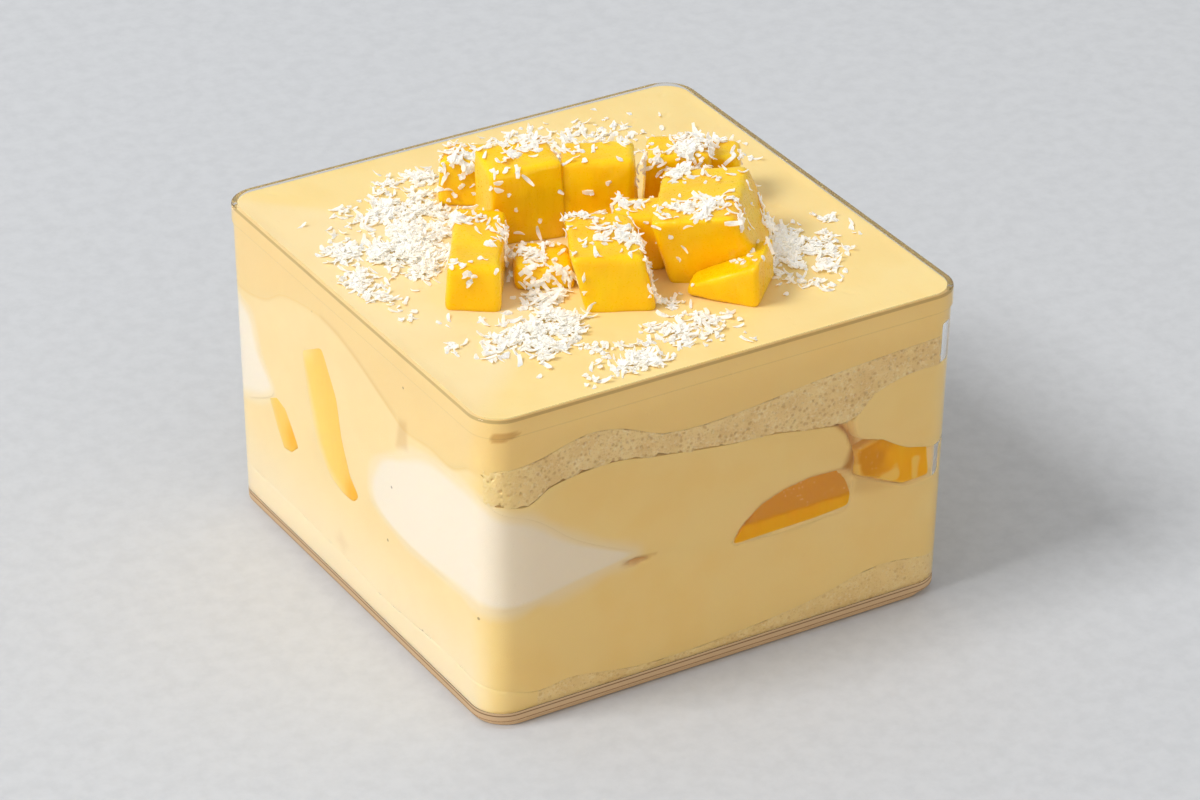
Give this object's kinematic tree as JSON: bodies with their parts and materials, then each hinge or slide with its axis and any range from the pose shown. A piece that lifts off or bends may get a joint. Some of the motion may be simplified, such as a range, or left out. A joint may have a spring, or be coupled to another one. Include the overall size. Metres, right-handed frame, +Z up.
{
  "type": "mango layer cake in a clear box",
  "caption": "Layered sponge and cream dessert with mango, filled level with the rim of a clear square plastic box and topped with mango chunks and shredded coconut.",
  "frame": {"origin": "centre of the box's footprint on the surface it stands on", "axes": "+Z up, -Y out of the front wall, -X out of the left wall"},
  "size_m": [0.1, 0.1, 0.0813],
  "materials": {
    "clear_plastic": "clear, glossy, injection moulded",
    "yellow_cream": "smooth soft mango cream, satin",
    "white_cream": "smooth whipped cream, satin",
    "sponge": "fine open sponge crumb, matt",
    "mango": "moist cut mango flesh with coconut shreds, glossy"
  },
  "bodies": {
    "root": {"box_clear": "clear_plastic", "sponge_bottom": "sponge", "cream_lower": "yellow_cream", "cream_middle": "yellow_cream", "cream_right": "yellow_cream", "cream_white_front": "white_cream", "cream_white_back": "white_cream", "sponge_upper": "sponge", "cream_top": "yellow_cream", "mango_slice_front": "mango", "mango_chunk_right": "mango", "mango_slab_left": "mango", "mango_cube_left": "mango", "mango_slice_side": "mango", "mango_cube_side": "mango", "mango_slice_back": "mango", "mango_cube_back": "mango", "mango_slab_west": "mango", "mango_block_west": "mango", "mango_block_middle": "mango", "mango_block_east": "mango", "mango_block_rear": "mango", "mango_wedge_east": "mango", "mango_chunk_northwest": "mango", "mango_block_northeast": "mango", "mango_chunk_east": "mango", "mango_chunk_middle": "mango", "mango_chunk_low": "mango"}
  },
  "joints": []
}
